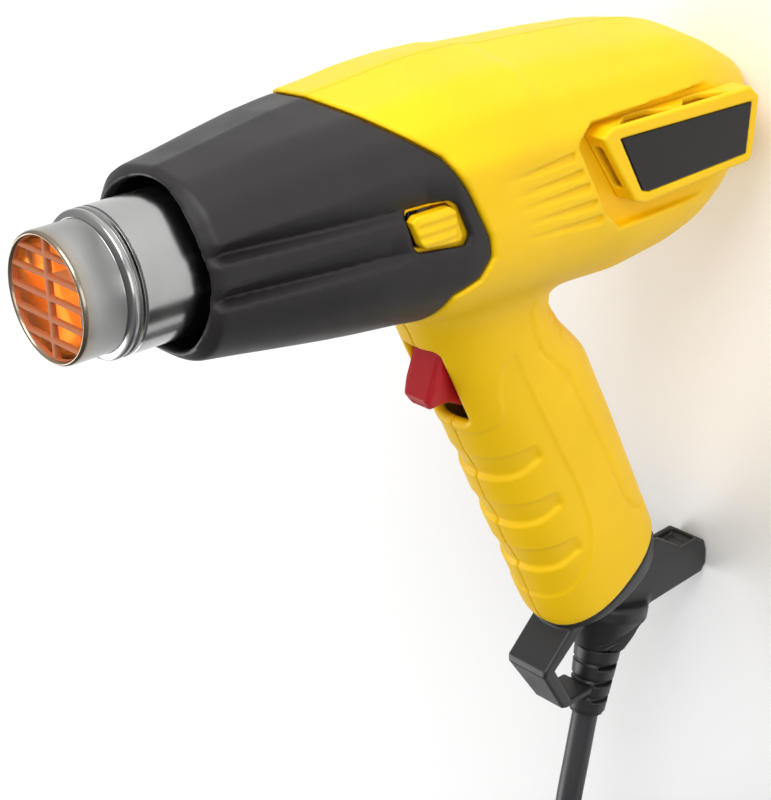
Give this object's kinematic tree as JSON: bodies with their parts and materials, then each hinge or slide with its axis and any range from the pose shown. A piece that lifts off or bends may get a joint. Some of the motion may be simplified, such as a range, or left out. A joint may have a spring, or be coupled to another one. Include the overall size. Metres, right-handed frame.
{
  "type": "heat gun",
  "caption": "Pistol-shaped hot air gun with a steel outlet tube, shrouded barrel, raked handle, rocker trigger, rear stand and mains cord.",
  "frame": {"origin": "on the standing surface, below the middle of the gun's box without its cord, with the gun standing nozzle up on its rear face and the strut of its end cap", "axes": "+Z along the barrel to the hot air outlet, +X from the barrel towards the handle, +Y to the gun's left side"},
  "size_m": [0.4278, 0.1087, 0.25],
  "materials": {
    "housing_plastic": "satin yellow moulding with a fine spark texture",
    "guard_plastic": "fine-textured charcoal nylon",
    "cap_plastic": "satin black nylon",
    "trigger_plastic": "smooth red moulding",
    "badge_plastic": "polished black inlay",
    "nozzle_steel": "spun stainless steel, heat tinted at the outlet",
    "grille_steel": "heat-oxidised steel wire",
    "mica": "pressed mica board",
    "nichrome": "glowing resistance wire",
    "ceramic": "white ceramic body",
    "duct_plastic": "glass-filled grey moulding",
    "motor_steel": "zinc-plated pressed steel",
    "sintered_bronze": "oiled sintered bronze",
    "ferrite": "dark ferrite",
    "shaft_steel": "ground steel",
    "copper": "enamelled copper on laminations",
    "fan_plastic": "natural nylon",
    "board": "green fibreglass board",
    "switch_plastic": "black switch moulding",
    "lead_insulation": "brown silicone insulation",
    "screw_steel": "zinc-plated screw steel",
    "cord_rubber": "satin black cord sheath",
    "plug_blade": "nickel-washed brass"
  },
  "bodies": {
    "root": {"housing_left": "housing_plastic", "housing_right": "housing_plastic", "guard": "guard_plastic", "side_frame_left": "housing_plastic", "side_frame_right": "housing_plastic", "badge_left": "badge_plastic", "badge_right": "badge_plastic", "rear_grille": "cap_plastic", "nozzle_tube": "nozzle_steel", "nozzle_grille": "grille_steel", "mica_sleeve": "mica", "mica_former": "mica", "heating_coil": "nichrome", "thermal_cutoff": "ceramic", "insulating_ring": "mica", "fan_duct": "duct_plastic", "motor_can": "motor_steel", "motor_bushes": "sintered_bronze", "motor_magnets": "ferrite", "rectifier_board": "board", "switch_body": "switch_plastic", "trigger_pin": "shaft_steel", "internal_leads": "lead_insulation", "cord_clamp": "cap_plastic", "clamp_screws": "screw_steel", "housing_screws": "screw_steel", "end_cap": "cap_plastic", "strain_relief": "cord_rubber", "cord": "cord_rubber", "cord_coil": "cord_rubber", "cord_tail": "cord_rubber", "cord_tie": "cap_plastic", "plug_body": "cord_rubber", "plug_blades": "plug_blade"},
    "fan": {"motor_shaft": "shaft_steel", "armature": "copper", "fan_impeller": "fan_plastic"},
    "trigger": {"trigger_rocker": "trigger_plastic"},
    "button_left": {"release_button_left": "housing_plastic"},
    "button_right": {"release_button_right": "housing_plastic"}
  },
  "joints": [
    {"name": "fan_spin", "type": "hinge", "parent": "root", "child": "fan", "pos_m": [-0.08515, 0, 0.1], "axis": [0, 0, 1], "continuous": true},
    {"name": "trigger_rock", "type": "hinge", "parent": "root", "child": "trigger", "pos_m": [-0.02295, 0, 0.11451], "axis": [0, 1, 0], "range_deg": [-8, 8]},
    {"name": "button_left_press", "type": "slide", "parent": "root", "child": "button_left", "axis": [0, -1, 0], "range_m": [0, 0.0025], "stiffness_N_per_m": 1500, "springref_m": -0.001},
    {"name": "button_right_press", "type": "slide", "parent": "root", "child": "button_right", "axis": [0, 1, 0], "range_m": [0, 0.0025], "stiffness_N_per_m": 1500, "springref_m": -0.001}
  ]
}
